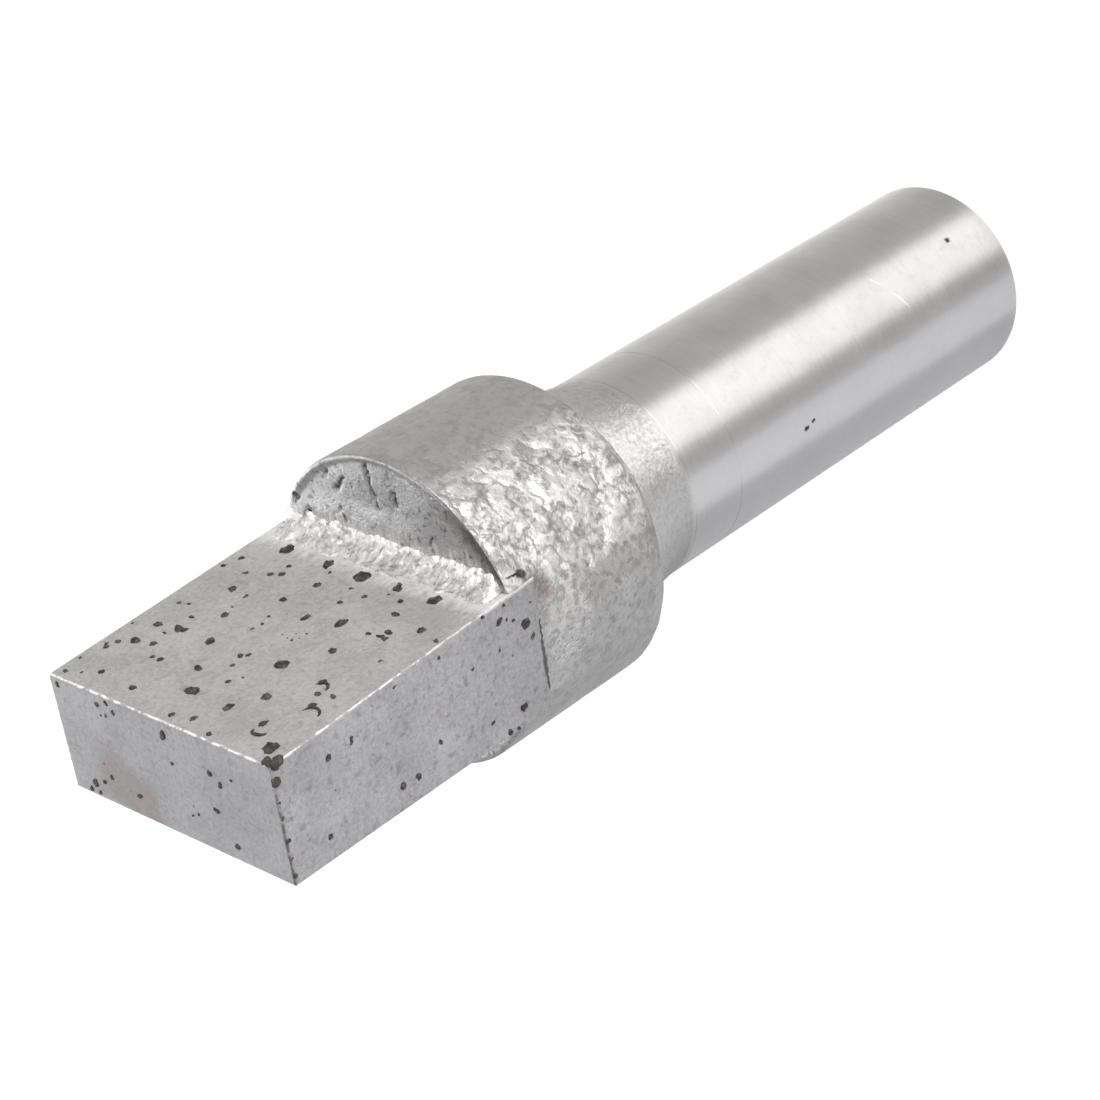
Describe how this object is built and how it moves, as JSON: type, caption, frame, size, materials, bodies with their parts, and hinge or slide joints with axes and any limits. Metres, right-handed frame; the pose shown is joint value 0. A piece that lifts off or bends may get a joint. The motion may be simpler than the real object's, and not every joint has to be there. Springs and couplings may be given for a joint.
{
  "type": "diamond wheel dresser",
  "caption": "Wheel dresser with a flat tapered bar of diamond-filled metal brazed across the rough head of a round clamping shank.",
  "frame": {"origin": "centre of the flat end of the shank, on which the tool stands", "axes": "+Z along the shank's axis toward the diamond bar; -Y is the bar's broad working face; -X is the bar's near side"},
  "size_m": [0.0146, 0.0146, 0.0521],
  "materials": {
    "holder_steel": "cast skin on the head, fine turned finish on the shank",
    "diamond_matrix": "ground sintered metal, satin",
    "braze_metal": "rough bright braze",
    "diamond_grit": "dark grey faceted crystals"
  },
  "bodies": {
    "root": {"holder": "holder_steel", "diamond_bar": "diamond_matrix", "upper_braze_fillet": "braze_metal", "lower_braze_fillet": "braze_metal", "working_face_grits": "diamond_grit", "under_face_grits": "diamond_grit", "near_side_grits": "diamond_grit", "far_side_grits": "diamond_grit", "front_face_grits": "diamond_grit"}
  },
  "joints": []
}
